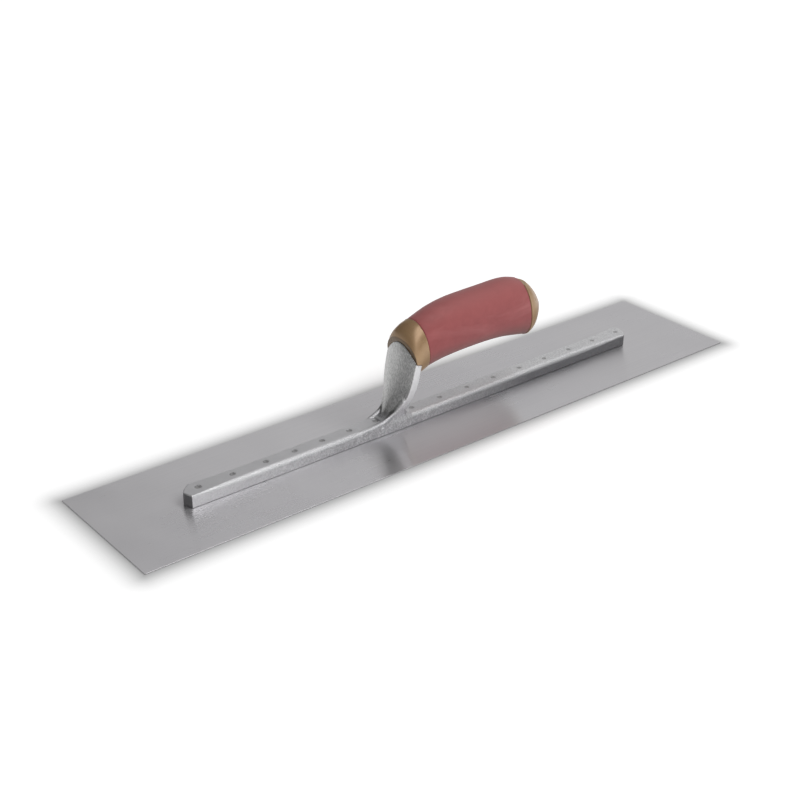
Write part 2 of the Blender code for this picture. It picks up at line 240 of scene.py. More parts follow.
# ------------------------------------------------- the casting, as one field
def table_function(column):
    rows = smooth_rows(SHANK_LEVELS, 12)
    zs = np.array([r[0] for r in rows])
    vs = np.array([r[column] for r in rows])
    grid = np.linspace(zs[0], zs[-1], 400)
    values = np.interp(grid, zs, vs)
    for _ in range(6):
        values[1:-1] = (values[:-2] + 2 * values[1:-1] + values[2:]) / 4
    slopes = np.gradient(values, grid)
    return (lambda z: np.interp(z, grid, values),
            lambda z: np.interp(z, grid, slopes))


LEVEL = {name: table_function(i) for i, name in
         enumerate(["z", "front", "edge_f", "edge_b", "back", "half"])}


def end_planes():
    left = [(-195.4, -7.5), (-197.6, -0.6), (-197.1, 0.5), (-194.4, 3.4),
            (-190.8, 6.2), (-187.6, 7.5)]
    right = [(189.5, 7.5)]
    for i in range(1, 6):
        angle = math.pi / 2 * i / 6
        right.append((195.7 - 6.2 * (1 - math.sin(angle)),
                      1.2 + 6.3 * math.cos(angle)))
    right += [(195.7, 1.2), (194.5, -2.0), (190.4, -7.5)]
    planes = []
    for chain in (left, right):
        for (x0, y0), (x1, y1) in zip(chain, chain[1:]):
            nx, ny = -(y1 - y0), x1 - x0
            size = math.hypot(nx, ny)
            planes.append((nx / size, ny / size, x0, y0))
    return planes


END_PLANES = end_planes()
BOLT_START = np.array([TANG_FOOT[0], 0.0, TANG_FOOT[1]])
BOLT_END = np.array([CAP_STATIONS[-1][0], 0.0, CAP_STATIONS[-1][1]])
BOLT_DIR = (BOLT_END - BOLT_START) / np.linalg.norm(BOLT_END - BOLT_START)


def bar_field(x, y, z):
    ay = np.abs(y)
    reach = np.clip(np.minimum(x - BAR_LEFT, BAR_RIGHT - x) / BAR_TAPER, 0, 1)
    r = END_RADIUS + (CREST_RADIUS - END_RADIUS) * np.sin(reach * np.pi / 2)
    qy, qz = ay - (BAR_HALF - r), z - (BAR_HEIGHT - r)
    d = (np.hypot(np.maximum(qy, 0), np.maximum(qz, 0))
         + np.minimum(np.maximum(qy, qz), 0) - r)
    for nx, ny, px, py in END_PLANES:
        d = smax(d, nx * (x - px) + ny * (y - py), 0.45)
    return smax(d, GAP - z, 0.25)


def shank_field(x, y, z):
    zc = np.clip(z, 3.0, 62.0)
    v = {k: f[0](zc) for k, f in LEVEL.items()}
    g = {k: f[1](zc) for k, f in LEVEL.items()}
    s = np.clip(y / v["half"], -1, 1)
    w = 1 - s * s
    front = v["edge_f"] + (v["front"] - v["edge_f"]) * w
    slope_y = (v["front"] - v["edge_f"]) * -2 * s / v["half"]
    slope_z = g["edge_f"] + (g["front"] - g["edge_f"]) * w
    d_front = (front - x) / np.sqrt(1 + slope_y ** 2 + slope_z ** 2)
    back = v["edge_b"] + (v["back"] - v["edge_b"]) * w ** 1.3
    slope_y = ((v["back"] - v["edge_b"]) * 1.3
               * np.maximum(w, 1e-3) ** 0.3 * -2 * s / v["half"])
    d_back = (x - back) / np.sqrt(1 + slope_y ** 2 + g["back"] ** 2)
    d_side = (np.abs(y) - v["half"]) / np.sqrt(1 + g["half"] ** 2)
    d = smax(smax(d_front, d_side, 0.55), d_back, 0.8)
    d = smax(d, z - 62.0, 0.6)
    return smax(d, 3.0 - z, 0.6)


def rail_field(x, y, z):
    p = np.stack([x, np.abs(y), z], -1)
    # the far rail is lower and dies out sooner
    far = np.where(y > 0, 0.35 + 0.9 * step(-44, -52, x), 0.0)
    best = np.full(x.shape, 1e3)
    rows = smooth_rows(RAIL, 3)
    for a, b in zip(rows, rows[1:]):
        pa, pb = np.array(a[:3]), np.array(b[:3])
        ab = pb - pa
        t = np.clip(((p - pa) @ ab) / (ab @ ab), 0, 1)
        q = pa + t[..., None] * ab
        radius = a[3] + (b[3] - a[3]) * t
        best = np.minimum(best, np.linalg.norm(p - q, axis=-1) - radius)
    return best + far


# small casting faults: x, y, z, radius, raised
FAULTS = [(-42.6, -5.1, 10.9, 0.55, 1), (-27.6, -9.5, 17.9, 0.75, 1),
          (-27.2, -8.1, 14.4, 0.65, 1), (-46.6, -7.9, 7.0, 1.3, -1),
          (-25.6, -7.4, 10.6, 0.7, 1), (-28.4, -9.9, 21.0, 0.45, 1)]


def casting_field(x, y, z):
    d = bar_field(x, y, z)
    near = (x > -75) & (x < 35)
    if near.any():
        xn, yn, zn = x[near], y[near], z[near]
        shank = shank_field(xn, yn, zn)
        profile_z = [p[1] for p in reversed(SEAT_PROFILE)]
        profile_x = [p[0] for p in reversed(SEAT_PROFILE)]
        seat_x = np.interp(zn, profile_z, profile_x)
        slope = (np.interp(zn + 0.05, profile_z, profile_x)
                 - np.interp(zn - 0.05, profile_z, profile_x)) / 0.1
        behind = np.minimum((xn - seat_x) / np.sqrt(1 + slope ** 2),
                            zn - 28.0)
        shank = smax(shank, behind, 0.3)
        local = smin(d[near], shank, 2.6)
        local = smin(local, rail_field(xn, yn, zn), 1.6)
        local = smax(local, GAP - zn, 0.2)
        rel = np.stack([xn, yn, zn], -1) - BOLT_START
        t = rel @ BOLT_DIR
        rad = np.linalg.norm(rel - t[..., None] * BOLT_DIR, axis=-1)
        tang = np.maximum(rad - (5.8 - 1.3 * (t + 5) / 51),
                          np.maximum(-5 - t, t - TANG_LENGTH))
        local = smin(local, tang, 0.8)
        bore = np.maximum(rad - 2.7, TANG_LENGTH - 22 - t)
        local = smax(local, -bore, 0.2)
        for fx, fy, fz, fr, sign in FAULTS:
            ball = np.sqrt((xn - fx) ** 2 + (yn - fy) ** 2
                           + (zn - fz) ** 2) - fr
            local = (smin(local, ball, 0.5) if sign > 0
                     else smax(local, -ball, 0.6))
        d = d.copy()
        d[near] = local
    centres = np.array(RIVETS)
    index = np.clip(np.searchsorted(centres, x), 1, len(centres) - 1)
    left, right = centres[index - 1], centres[index]
    nearest = np.where(x - left < right - x, left, right)
    radii = np.array(PIN_RADII) + 0.1
    wide = np.where(x - left < right - x, radii[index - 1], radii[index])
    holes = wide - np.hypot(x - nearest, y)
    return smax(d, holes, 0.16)


def surface_nets(xs, ys, zs, field):
    """Quads round the zero surface of a field on a rectilinear grid."""
    axes = (xs, ys, zs)
    shape = tuple(len(a) - 1 for a in axes)
    total = np.zeros((np.prod(shape), 3))
    count = np.zeros(np.prod(shape))
    inside = field < 0
    quads_src = []
    for axis in range(3):
        lo = [slice(None)] * 3
        hi = [slice(None)] * 3
        lo[axis], hi[axis] = slice(None, -1), slice(1, None)
        crossing = inside[tuple(lo)] != inside[tuple(hi)]
        idx = np.argwhere(crossing)
        a = field[tuple(lo)][crossing]
        b = field[tuple(hi)][crossing]
        t = a / (a - b)
        pos = np.stack([axes[k][idx[:, k]] for k in range(3)], -1)
        span = axes[axis][idx[:, axis] + 1] - axes[axis][idx[:, axis]]
        pos[:, axis] += t * span
        others = [k for k in range(3) if k != axis]
        cells, valid = [], np.ones(len(idx), bool)
        for du, dv in ((0, 0), (-1, 0), (-1, -1), (0, -1)):
            c = idx.copy()
            c[:, others[0]] += du
            c[:, others[1]] += dv
            ok = np.all((c >= 0) & (c < np.array(shape)), axis=1)
            valid &= ok
            flat = np.ravel_multi_index(np.clip(c, 0, np.array(shape) - 1).T,
                                        shape)
            np.add.at(total, flat[ok], pos[ok])
            np.add.at(count, flat[ok], 1)
            cells.append(flat)
        quad = np.stack(cells, -1)[valid]
        flip = (a < 0)[valid]
        if axis == 1:
            flip = ~flip
        quad[flip] = quad[flip][:, ::-1]
        quads_src.append(quad)
    quads = np.concatenate(quads_src)
    used = np.unique(quads)
    remap = np.full(len(count), -1)
    remap[used] = np.arange(len(used))
    verts = total[used] / count[used][:, None]
    return verts, remap[quads]


def gradient(p, h=0.02):
    g = np.zeros_like(p)
    for k in range(3):
        e = np.zeros(3)
        e[k] = h
        a, b = p + e, p - e
        g[:, k] = (casting_field(*a.T) - casting_field(*b.T)) / (2 * h)
    return g


def project(p, rounds):
    for _ in range(rounds):
        f = casting_field(*p.T)
        g = gradient(p)
        move = -(f / np.maximum((g * g).sum(1), 0.2))[:, None] * g
        size = np.linalg.norm(move, axis=1)
        p = p + move * np.minimum(1, 0.25 / np.maximum(size, 1e-9))[:, None]
    return p


def relax(p, quads, factor):
    total = np.zeros_like(p)
    count = np.zeros(len(p))
    for a, b in ((0, 1), (1, 2), (2, 3), (3, 0)):
        np.add.at(total, quads[:, a], p[quads[:, b]])
        np.add.at(total, quads[:, b], p[quads[:, a]])
        np.add.at(count, quads[:, a], 1)
        np.add.at(count, quads[:, b], 1)
    return p + factor * (total / count[:, None] - p)


def spaced(low, high, fine_zones, fine, coarse):
    out = [low]
    while out[-1] < high:
        here = out[-1]
        fine_here = any(a - coarse <= here <= b for a, b in fine_zones)
        out.append(here + (fine if fine_here else coarse))
    return np.array(out)


def casting_mesh(name):
    zones = [(-199.0, -185.0), (-64.0, -14.0), (186.0, 197.0)]
    zones += [(x - 2.8, x + 2.8) for x in RIVETS]
    xs = spaced(-199.2, 197.6, zones, 0.42, 0.85)
    ys = spaced(-16.4, 16.4, [(-8.2, 8.2)], 0.42, 0.55)
    zs = spaced(-0.6, 63.2, [(0, 30)], 0.42, 0.5)
    field = np.full((len(xs), len(ys), len(zs)), 4.0)

    def fill(xa, xb, ya, yb, za, zb):
        ix = np.where((xs >= xa) & (xs <= xb))[0]
        iy = np.where((ys >= ya) & (ys <= yb))[0]
        iz = np.where((zs >= za) & (zs <= zb))[0]
        gx, gy, gz = np.meshgrid(xs[ix], ys[iy], zs[iz], indexing="ij")
        block = casting_field(gx.ravel(), gy.ravel(), gz.ravel())
        field[ix[0]:ix[-1] + 1, iy[0]:iy[-1] + 1, iz[0]:iz[-1] + 1] = \
            block.reshape(gx.shape)

    fill(-200, 198, -9.0, 9.0, -1, 11.0)
    fill(-66, 28, -17, 17, -1, 64)
    verts, quads = surface_nets(xs, ys, zs, field)
    verts = project(verts, 2)
    for _ in range(2):
        verts = project(relax(verts, quads, 0.5), 2)

    n = gradient(verts)
    n /= np.maximum(np.linalg.norm(n, axis=1), 1e-9)[:, None]
    x, y, z = verts.T
    in_shank = step(10.5, 14.0, z)
    polished = in_shank * step(0.35, 0.6, -n[:, 0]) * step(-14, -18, x)
    ground = np.maximum(step(-190.0, -191.5, x) * step(0.4, 0.7, -n[:, 0]),
                        step(189.0, 190.5, x) * step(0.4, 0.7, n[:, 0]))
    hidden = step(-0.2, 0.2, -casting_hidden(verts))
    rough_side = step(-60, 120, x)
    # cast skin: slow waves, lumps and a few pits, stronger towards the right
    waves = noise(verts * [0.35, 1, 1], 2.6, 3)
    grain = noise(verts, 1.1, 7)
    pits = np.minimum(noise(verts, 1.7, 11) + 0.55, 0)
    lift = (0.035 + 0.05 * rough_side) * waves \
        + (0.018 + 0.030 * rough_side) * grain \
        + (0.05 + 0.22 * rough_side) * pits
    edge_wave = noise(verts * [1, 0.2, 0.2], 7.0, 19)
    lift += 0.10 * edge_wave * step(5.0, 7.4, y) * rough_side
    flat_top = step(0.9, 0.98, n[:, 2]) * (z < 11)
    lift *= (1 - 0.55 * flat_top) * (1 - hidden)
    smooth = np.maximum(polished, ground)
    lift = lift * (1 - smooth) + 0.02 * noise(verts, 9.0, 23) * polished
    top_hole = np.min(np.abs(x[:, None] - np.array(RIVETS)[None]), axis=1)
    near_hole = (np.hypot(top_hole, y) < 3.0) & (z < 11)
    lift = np.where(near_hole, lift * 0.25 - 0.01, lift)
    verts = verts + n * lift[:, None]
    verts[:, 2] = np.maximum(verts[:, 2], GAP * 0.6)

    mesh = bpy.data.meshes.new(name)
    out = verts.copy()
    out[:, 2] += TOP
    mesh.vertices.add(len(out))
    mesh.vertices.foreach_set("co", (out * MM).astype(np.float32).ravel())
    mesh.loops.add(len(quads) * 4)
    mesh.loops.foreach_set("vertex_index", quads.astype(np.int32).ravel())
    mesh.polygons.add(len(quads))
    mesh.polygons.foreach_set("loop_start",
                              np.arange(0, len(quads) * 4, 4, dtype=np.int32))
    mesh.update(calc_edges=True)
    mesh.validate()
    for label, value in (("polished", polished), ("ground", ground),
                         ("crest", crest_burnish_and_highlight_mask(verts, n)),
                         ("deck", flat_top.astype(float))):
        layer = mesh.attributes.new(label, 'FLOAT', 'POINT')
        layer.data.foreach_set("value", value.astype(np.float32))
    return mesh


def casting_hidden(p):
    """Below zero on the tang, which the handle covers."""
    x, y, z = p.T
    return np.maximum(-19.0 - x, 30.0 - z)


def crest_burnish_and_highlight_mask(p, n):
    """The rounded long edges facing up and out, burnished by handling and
    painted lighter there as a highlight.
    """
    x, y, z = p.T
    slant = np.minimum(step(0.12, 0.45, np.abs(n[:, 1])),
                       step(0.12, 0.45, n[:, 2]))
    return slant * (z < 14)


# ------------------------------------------------------------------ handle
def handle_ring(station, inset=0.0, segments=144):
    x, z, tilt, half_h, half_w = station
    lean = math.radians(tilt)
    up = Vector((-math.sin(lean), 0.0, math.cos(lean)))
    side = Vector((0.0, 1.0, 0.0))
    centre = Vector((x, 0.0, z + TOP))
    ring = []
    for i in range(segments):
        angle = 2 * math.pi * i / segments
        c, s = math.cos(angle), math.sin(angle)
        u = math.copysign(abs(c) ** (2 / 2.15), c)
        v = math.copysign(abs(s) ** (2 / 2.15), s)
        ring.append((centre + up * ((half_h - inset) * u)
                     + side * ((half_w - inset) * v)) * MM)
    return ring


def shifted(station, distance):
    x, z, tilt, half_h, half_w = station
    lean = math.radians(tilt)
    return (x + distance * math.cos(lean), z + distance * math.sin(lean),
            tilt, half_h, half_w)


ROUND = [(0.0, 0.50), (0.04, 0.30), (0.13, 0.15), (0.28, 0.04), (0.5, 0.0)]


def core_mesh(name):
    collar = smooth_rows(COLLAR_STATIONS, 10)
    neck = smooth_rows(GRIP_STATIONS, 3)
    cap = smooth_rows(CAP_STATIONS, 8)
    rings = [handle_ring(s) for s in collar[:-1]]
    rings += [handle_ring(shifted(collar[-1], -d), i)
              for d, i in reversed(ROUND)]
    rings += [handle_ring(s, GRIP_THICKNESS + GAP) for s in neck]
    rings += [handle_ring(shifted(cap[0], d), i) for d, i in ROUND]
    rings += [handle_ring(s) for s in cap[2:]]
    bm = bmesh.new()
    loft(bm, rings)
    mesh = mesh_from_bm(bm, name)
    profile = [(x + 1.2 * GAP, z + TOP + GAP) for x, z in SEAT_PROFILE]
    profile += [(130, profile[-1][1]), (130, profile[0][1])]
    bm = bmesh.new()
    loft(bm, [[Vector((x, y, z)) * MM for x, z in profile]
              for y in (-30, 30)])
    mesh = cut(mesh, mesh_from_bm(bm, "seat"), 'INTERSECT', name)
    start = Vector(BOLT_START) + Vector((0, 0, TOP))
    direction = Vector(BOLT_DIR)
    length = float(np.linalg.norm(BOLT_END - BOLT_START))
    bm = bmesh.new()
    loft(bm, turned_rings([(-9, 6.4), (TANG_LENGTH + 1, 5.0),
                           (TANG_LENGTH + 1.4, 2.6), (length + 6, 2.6)],
                          start, direction, 48))
    return cut(mesh, mesh_from_bm(bm, "bore"), 'DIFFERENCE', name)


def grip_mesh(name):
    rows = smooth_rows(GRIP_STATIONS, 9)
    first, last = shifted(rows[0], GAP), shifted(rows[-1], -GAP)
    outer = [handle_ring(shifted(first, d * 1.2), GRIP_STEP + i * 1.3)
             for d, i in ROUND]
    outer += [handle_ring(s, GRIP_STEP) for s in rows[1:-1]]
    outer += [handle_ring(shifted(last, -d * 1.2), GRIP_STEP + i * 1.3)
              for d, i in reversed(ROUND)]
    inner = [handle_ring(s, GRIP_THICKNESS)
             for s in [first] + rows[1:-1:3] + [last]]
    bm = bmesh.new()
    loft(bm, outer + list(reversed(inner)), loop=True)
    mesh = mesh_from_bm(bm, name)
    count = len(mesh.vertices)
    co = np.zeros(count * 3)
    mesh.vertices.foreach_get("co", co)
    nrm = np.zeros(count * 3)
    mesh.vertices.foreach_get("normal", nrm)
    co, nrm = co.reshape(-1, 3) / MM, nrm.reshape(-1, 3)
    # the soft sleeve is never quite true: slow shallow waves
    wave = 0.05 * noise(co * [0.6, 1, 1], 9.0, 31) \
        + 0.025 * noise(co, 4.0, 37)
    mid = step(-9, -4, co[:, 0]) * step(80, 74, co[:, 0])
    co = co + nrm * (np.minimum(wave, 0.0) * mid - 0.015)[:, None]
    mesh.vertices.foreach_set("co", (co * MM).ravel())
    return mesh


# ------------------------------------------------------------- blade, pins
def blade_mesh(name):
    half_l, half_w = BLADE_LENGTH / 2 - 0.01, BLADE_WIDTH / 2 - 0.01
    corner = 0.7

    def outline(inset):
        pts = []
        r = corner
        for cx, cy, a0 in ((half_l - r, half_w - r, 0),
                           (-half_l + r, half_w - r, 90),
                           (-half_l + r, -half_w + r, 180),
                           (half_l - r, -half_w + r, 270)):
            for k in range(7):
                a = math.radians(a0 + 15 * k)
                pts.append((cx + (r - inset) * math.cos(a),
                            cy + (r - inset) * math.sin(a)))
        return pts

    layers = [(0.10, 0.0), (0.03, 0.03), (0.0, 0.10), (0.0, 0.64),
              (0.03, 0.73), (0.08, 0.78), (0.15, 0.80)]
    bm = bmesh.new()
    loft(bm, [[Vector((x, y, z)) * MM for x, y in outline(i)]
              for i, z in layers])
    mesh = mesh_from_bm(bm, name)
    bm = bmesh.new()
    for x in RIVETS:
        loft(bm, turned_rings([(-1.0, 3.4), (0.12, 3.4), (0.8, 2.2),
                               (1.8, 2.2)], Vector((x, 0, 0)),
                              Vector((0, 0, 1)), 48))
    return cut(mesh, mesh_from_bm(bm, "holes"), 'DIFFERENCE', name)


def rivet_mesh(name, seed, wide):
    """Countersunk under the blade, peened flush with a shallow dimple."""
    top = TOP + BAR_HEIGHT - 0.05
    tilt = [math.sin(seed * 2.7), math.cos(seed * 1.9)]
    profile = [(0.05, 0.0), (0.03, 1.2), (0.0, 2.6), (0.0, 3.08),
               (0.06, 3.2), (0.16, 3.2), (0.8, wide), (4.0, wide),
               (top - 0.30, wide), (top - 0.09, wide - 0.02),
               (top, wide - 0.16), (top - 0.01, wide - 0.5),
               (top - 0.10, wide - 0.75), (top - 0.17, 0.7),
               (top - 0.19, 0.3)]
    bm = bmesh.new()
    rings = []
    segments = 40
    for distance, radius in profile[1:]:
        ring = []
        for i in range(segments):
            a = 2 * math.pi * i / segments
            dz = 0.0
            if distance > top - 0.25 and radius < wide - 0.1:
                dz = 0.03 * (tilt[0] * math.cos(a) + tilt[1] * math.sin(a)) \
                    * radius / wide - 0.02
            ring.append(Vector((radius * math.cos(a), radius * math.sin(a),
                                distance + dz)) * MM)
        rings.append(ring)
    loft(bm, rings)
    return mesh_from_bm(bm, name)


def washer_mesh(name):
    start = Vector(BOLT_START) + Vector((0, 0, TOP))
    seat = float(np.linalg.norm(BOLT_END - BOLT_START)) + GAP
    profile = [(seat, 2.7), (seat, 3.68), (seat + 0.06, 3.77),
               (seat + 0.16, 3.8), (seat + 0.44, 3.8), (seat + 0.54, 3.77),
               (seat + 0.6, 3.68), (seat + 0.6, 2.76)]
    bm = bmesh.new()
    loft(bm, turned_rings(profile, start, Vector(BOLT_DIR), 64), loop=True)
    return mesh_from_bm(bm, name)


def bolt_mesh(name):
    start = Vector(BOLT_START) + Vector((0, 0, TOP))
    direction = Vector(BOLT_DIR)
    head = float(np.linalg.norm(BOLT_END - BOLT_START)) + GAP + 0.6 + GAP
    profile = [(TANG_LENGTH - 20, 1.5), (TANG_LENGTH - 19.4, 2.4),
               (head, 2.4), (head, 3.08), (head + 0.05, 3.17),
               (head + 0.14, 3.2), (head + 0.62, 3.2), (head + 0.82, 3.12),
               (head + 1.0, 2.9), (head + 1.14, 2.45), (head + 1.22, 1.9),
               (head + 1.28, 1.0), (head + 1.3, 0.3)]
    bm = bmesh.new()
    loft(bm, turned_rings(profile, start, direction, 56))
    mesh = mesh_from_bm(bm, name)
    # driver slot across the head
    side = Vector((0.0, 1.0, 0.0))
    side = (Matrix.Rotation(math.radians(24), 3, direction) @ side)
    up = direction.cross(side)
    bm = bmesh.new()
    corners = []
    for d in (head + 0.62, head + 2.5):
        ring = []
        for u, v in ((-0.4, -5), (0.4, -5), (0.4, 5), (-0.4, 5)):
            ring.append((start + direction * d + up * u + side * v) * MM)
        corners.append(ring)
    loft(bm, corners)
    return cut(mesh, mesh_from_bm(bm, "slot"), 'DIFFERENCE', name)


# --------------------------------------------------------------- materials
class Nodes:
    def __init__(self, name):
        self.mat = bpy.data.materials.new(name)
        self.mat.use_nodes = True
        self.tree = self.mat.node_tree
        self.shader = self.tree.nodes["Principled BSDF"]
        self.coord = self.add("ShaderNodeTexCoord").outputs["Object"]

    def add(self, kind, **values):
        node = self.tree.nodes.new(kind)
        for k, v in values.items():
            setattr(node, k, v)
        return node

    def link(self, a, b):
        self.tree.links.new(a, b)

    def scaled(self, scale, rotation=(0, 0, 0)):
        node = self.add("ShaderNodeMapping")
        node.inputs["Scale"].default_value = scale
        node.inputs["Rotation"].default_value = rotation
        self.link(self.coord, node.inputs["Vector"])
        return node.outputs["Vector"]

    def noise(self, vector, scale, detail=3.0, rough=0.55, distortion=0.0):
        node = self.add("ShaderNodeTexNoise")
        node.inputs["Scale"].default_value = scale
        node.inputs["Detail"].default_value = detail
        node.inputs["Roughness"].default_value = rough
        node.inputs["Distortion"].default_value = distortion
        self.link(vector, node.inputs["Vector"])
        return node.outputs["Fac"]

    def ramp(self, value, lo, hi, a, b):
        node = self.add("ShaderNodeMapRange")
        node.clamp = True
        self.link(value, node.inputs["Value"])
        for k, v in (("From Min", lo), ("From Max", hi),
                     ("To Min", a), ("To Max", b)):
            node.inputs[k].default_value = v
        return node.outputs["Result"]

    def math(self, kind, a, b=0.0):
        node = self.add("ShaderNodeMath", operation=kind)
        for i, v in enumerate((a, b)):
            if isinstance(v, (int, float)):
                node.inputs[i].default_value = v
            else:
                self.link(v, node.inputs[i])
        return node.outputs[0]

    def mix(self, factor, a, b):
        node = self.add("ShaderNodeMix", data_type='RGBA')
        if isinstance(factor, (int, float)):
            node.inputs[0].default_value = factor
        else:
            self.link(factor, node.inputs[0])
        for socket, v in ((node.inputs[6], a), (node.inputs[7], b)):
            if isinstance(v, tuple):
                socket.default_value = (*v, 1.0)
            else:
                self.link(v, socket)
        return node.outputs[2]

    def attribute(self, name):
        return self.add("ShaderNodeAttribute",
                        attribute_name=name).outputs["Fac"]

    def set(self, name, value):
        socket = self.shader.inputs[name]
        if isinstance(value, (int, float)):
            socket.default_value = value
        elif isinstance(value, tuple):
            socket.default_value = (*value, 1.0)
        else:
            self.link(value, socket)

    def bump(self, layers):
        """layers: (height output, strength, distance in metres)."""
        previous = None
        for height, strength, distance in layers:
            node = self.add("ShaderNodeBump")
            node.inputs["Distance"].default_value = distance
            if isinstance(strength, (int, float)):
                node.inputs["Strength"].default_value = strength
            else:
                self.link(strength, node.inputs["Strength"])
            self.link(height, node.inputs["Height"])
            if previous is not None:
                self.link(previous, node.inputs["Normal"])
            previous = node.outputs["Normal"]
        self.link(previous, self.shader.inputs["Normal"])


def blade_material():
    m = Nodes("blade_ground_steel")
    lines = m.noise(m.scaled((0.18, 30.0, 1.0)), 45.0, 3.0, 0.5)
    fine = m.noise(m.scaled((1.0, 260.0, 1.0)), 14.0, 2.0, 0.5)
    cloud = m.noise(m.scaled((1, 1, 1)), 9.0, 3.0, 0.5, 0.6)
    blot = m.noise(m.scaled((1, 1, 1)), 38.0, 4.0, 0.6)
    colour = m.mix(m.ramp(cloud, 0.35, 0.65, 0.0, 1.0),
                   (0.615, 0.605, 0.625), (0.645, 0.635, 0.650))
    colour = m.mix(m.ramp(lines, 0.4, 0.75, 0.0, 0.35), colour,
                   (0.56, 0.55, 0.57))
    m.set("Base Color", colour)
    m.set("Metallic", 1.0)
    rough = m.math('ADD', m.ramp(cloud, 0.3, 0.7, 0.25, 0.285),
                   m.ramp(blot, 0.35, 0.7, 0.0, 0.02))
    rough = m.math('ADD', rough, m.ramp(lines, 0.3, 0.7, 0.0, 0.03))
    m.set("Roughness", rough)
    # ground lengthwise, so reflections spread across the blade
    across = m.add("ShaderNodeCombineXYZ")
    across.inputs["Y"].default_value = 1.0
    m.link(across.outputs[0], m.shader.inputs["Tangent"])
    m.set("Anisotropic", 0.95)
    m.bump([(lines, 0.008, 0.00006), (fine, 0.008, 0.00003)])
    return m.mat


def casting_material():
    m = Nodes("cast_alloy_finish")
    polished = m.attribute("polished")
    ground = m.attribute("ground")
    crest = m.attribute("crest")
    # the flat top is ground like the blade, less so towards the right
    split = m.add("ShaderNodeSeparateXYZ")
    m.link(m.coord, split.inputs[0])
    deck = m.math('MULTIPLY', m.attribute("deck"),
                  m.ramp(split.outputs["X"], -0.04, 0.10, 1.0, 0.25))
    grain = m.noise(m.scaled((1, 1, 1)), 1000.0, 3.0, 0.7)
    mottle = m.noise(m.scaled((1, 1, 1)), 210.0, 4.0, 0.6, 0.4)
    cloud = m.noise(m.scaled((1, 1, 1)), 60.0, 3.0, 0.55)
    # belt marks on the shank's face run slantwise across it
    belt = m.noise(m.scaled((1, 3.2, 0.8), (math.radians(-14), 0, 0)),
                   700.0, 4.0, 0.65)
    cast = m.mix(m.ramp(mottle, 0.35, 0.7, 0.0, 1.0),
                 (0.52, 0.52, 0.535), (0.68, 0.68, 0.69))
    cast = m.mix(m.ramp(cloud, 0.55, 0.8, 0.0, 0.5), cast,
                 (0.50, 0.50, 0.52))
    cast = m.mix(m.ramp(grain, 0.40, 0.50, 0.6, 0.0), cast,
                 (0.36, 0.36, 0.375))
    cast = m.mix(m.ramp(grain, 0.56, 0.64, 0.0, 0.6), cast,
                 (0.92, 0.92, 0.93))
    # painted highlight: a grainy near-white band along the top of the bar
    # right of the shank
    cast = m.mix(m.math('MULTIPLY', m.ramp(
        split.outputs["Z"], 0.0088, 0.0096, 0.0, 0.9), m.ramp(
        split.outputs["X"], -0.02, 0.08, 0.0, 1.0)), cast, m.mix(
        m.ramp(grain, 0.42, 0.62, 0.0, 1.0), (0.70, 0.70, 0.71),
        (0.98, 0.98, 0.99)))
    # lighter higher up the shank, and on the bar's left end
    cast = m.mix(m.ramp(split.outputs["Z"], 0.014, 0.028, 0.0, 0.85), cast,
                 (0.88, 0.88, 0.89))
    cast = m.mix(m.ramp(split.outputs["X"], -0.06, -0.19, 0.0, 0.75), cast,
                 (0.86, 0.86, 0.87))
    # painted shade: the bar's walls below the top, right of the shank, are
    # made much darker
    low = m.ramp(split.outputs["Z"], 0.0095, 0.0075, 0.0, 1.0)
    cast = m.mix(m.math('MULTIPLY', low, m.ramp(
        split.outputs["X"], -0.01, 0.09, 0.0, 0.9)), cast,
        (0.22, 0.22, 0.23))
    bright = m.mix(m.ramp(belt, 0.40, 0.60, 0.0, 1.0),
                   (0.30, 0.30, 0.30), (0.56, 0.56, 0.555))
    colour = m.mix(polished, cast, bright)
    # painted highlight: the rounded crests are made lighter, on top of their
    # burnish
    colour = m.mix(m.math('MULTIPLY', crest, 0.35), colour,
                   (0.74, 0.74, 0.75))
    colour = m.mix(m.math('MULTIPLY', ground, 0.8), colour,
                   (0.62, 0.62, 0.63))
    colour = m.mix(deck, colour, m.mix(m.ramp(cloud, 0.3, 0.7, 0.0, 1.0),
                                       (0.65, 0.645, 0.66),
                                       (0.70, 0.695, 0.71)))
    m.set("Base Color", colour)
    m.set("Metallic", 1.0)
    r_cast = m.ramp(mottle, 0.3, 0.7, 0.42, 0.56)
    r_belt = m.ramp(belt, 0.3, 0.7, 0.30, 0.42)
    node = m.add("ShaderNodeMix", data_type='FLOAT')
    m.link(m.math('MAXIMUM', polished, ground), node.inputs[0])
    m.link(r_cast, node.inputs[2])
    m.link(r_belt, node.inputs[3])
    m.set("Roughness", node.outputs[0])
    rest = m.math('SUBTRACT', 1.0, m.math('MAXIMUM', m.math(
        'MAXIMUM', polished, ground), m.math('MULTIPLY', deck, 0.8)))
    m.bump([(mottle, m.math('MULTIPLY', rest, 0.35), 0.00035),
            (grain, m.math('MULTIPLY', rest, 1.0), 0.00045),
            (belt, m.math('MULTIPLY', polished, 0.55), 0.00016)])
    return m.mat


def rivet_material():
    m = Nodes("rivet_dull_steel")
    mottle = m.noise(m.scaled((1, 1, 1)), 700.0, 4.0, 0.6)
    colour = m.mix(m.ramp(mottle, 0.35, 0.7, 0.0, 1.0),
                   (0.24, 0.235, 0.24), (0.38, 0.37, 0.375))
    split = m.add("ShaderNodeSeparateXYZ")
    m.link(m.coord, split.inputs[0])
    colour = m.mix(m.ramp(split.outputs["X"], -0.10, 0.0, 0.60, 0.85), colour,
                   (0.50, 0.495, 0.50))
    m.set("Base Color", colour)
    m.set("Metallic", 1.0)
    m.set("Roughness", m.ramp(mottle, 0.3, 0.7, 0.36, 0.52))
    m.bump([(mottle, 0.4, 0.00012)])
    return m.mat


